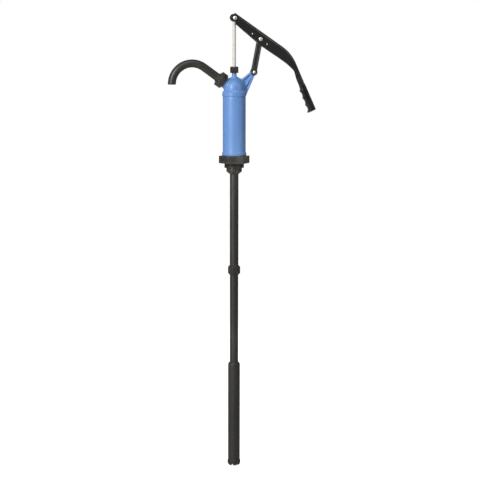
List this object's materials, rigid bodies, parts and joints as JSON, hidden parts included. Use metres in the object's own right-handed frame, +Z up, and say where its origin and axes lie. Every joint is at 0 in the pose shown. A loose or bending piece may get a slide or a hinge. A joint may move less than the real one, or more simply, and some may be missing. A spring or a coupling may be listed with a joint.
{
  "type": "lever-action drum and bilge pump",
  "caption": "Hand lever drum and bilge pump: plastic barrel and domed head with swivel gooseneck spout, lever linkage, bung adapter and telescopic suction tube.",
  "frame": {"origin": "centre of the bung seat plane: the underside of the hexagon collar, on the pump axis", "axes": "+Z up along the pump axis, +X towards the lever and its link, -X towards the spout"},
  "size_m": [0.4481, 0.0838, 1.3547],
  "materials": {
    "blue_pp": "smooth moulded polypropylene, satin",
    "black_pp": "smooth moulded polypropylene, satin",
    "seal_rubber": "moulded nitrile rubber",
    "packing_felt": "braided packing",
    "bush_brass": "turned",
    "white_pp": "moulded polypropylene, natural",
    "stainless": "ground stainless bar",
    "zinc_steel": "bright zinc plate",
    "black_steel": "black powder coat, semi-gloss",
    "grip_plastic": "moulded, semi-gloss"
  },
  "bodies": {
    "pump_body": {"bung_adapter": "black_pp", "barrel_seal": "seal_rubber", "barrel": "blue_pp", "pump_head": "blue_pp", "head_seal": "seal_rubber", "gland_packing": "packing_felt", "gland_bush": "bush_brass", "gland_nut": "black_pp", "valve_seat": "black_pp", "valve_cage": "black_pp", "suction_socket": "black_pp", "socket_seal": "seal_rubber", "upper_pipe": "black_pp", "pipe_coupling": "black_pp", "middle_pipe": "black_pp", "pipe_stop": "black_pp", "spout_gasket": "seal_rubber", "spout_nut": "black_pp"},
    "piston_rod": {"piston_rod": "stainless", "rod_end": "black_steel", "piston_body": "white_pp", "piston_seal": "seal_rubber", "piston_nut": "zinc_steel", "valve_stop": "zinc_steel"},
    "piston_valve": {"piston_valve": "seal_rubber"},
    "foot_valve": {"foot_valve": "seal_rubber"},
    "lever": {"lever": "black_steel", "lever_grip": "grip_plastic", "rod_pin": "zinc_steel", "fulcrum_pin": "zinc_steel", "lever_clips": "zinc_steel"},
    "link": {"link": "black_pp", "link_pin": "zinc_steel", "link_clip": "zinc_steel"},
    "spout": {"spout": "black_pp"},
    "foot_tube": {"foot_tube": "black_pp", "foot_bush": "black_pp", "slide_seal": "seal_rubber", "suction_foot": "black_pp"}
  },
  "joints": [
    {"name": "lever_pivot", "type": "hinge", "parent": "piston_rod", "child": "lever", "pos_m": [0, 0, 0.431], "axis": [0, -1, 0], "range_deg": [0, 51.13]},
    {"name": "rod_slide", "type": "slide", "parent": "pump_body", "child": "piston_rod", "axis": [0, 0, -1], "range_m": [0, 0.0901]},
    {"name": "link_pivot", "type": "hinge", "parent": "pump_body", "child": "link", "pos_m": [0.059, 0, 0.27], "axis": [0, 1, 0], "range_deg": [0, 12]},
    {"name": "spout_swivel", "type": "hinge", "parent": "pump_body", "child": "spout", "pos_m": [0, 0, 0.2186], "axis": [-0.809, 0, 0.5878], "continuous": true},
    {"name": "foot_slide", "type": "slide", "parent": "pump_body", "child": "foot_tube", "axis": [0, 0, 1], "range_m": [0, 0.25]},
    {"name": "foot_valve_lift", "type": "slide", "parent": "pump_body", "child": "foot_valve", "axis": [0, 0, 1], "range_m": [0, 0.006]},
    {"name": "piston_valve_lift", "type": "slide", "parent": "piston_rod", "child": "piston_valve", "axis": [0, 0, 1], "range_m": [0, 0.004]}
  ],
  "couplings": [
    {"joint": "rod_slide", "follows": "lever_pivot", "m_per_rad": 0.10085},
    {"joint": "link_pivot", "follows": "lever_pivot", "ratio": 0.23335}
  ]
}
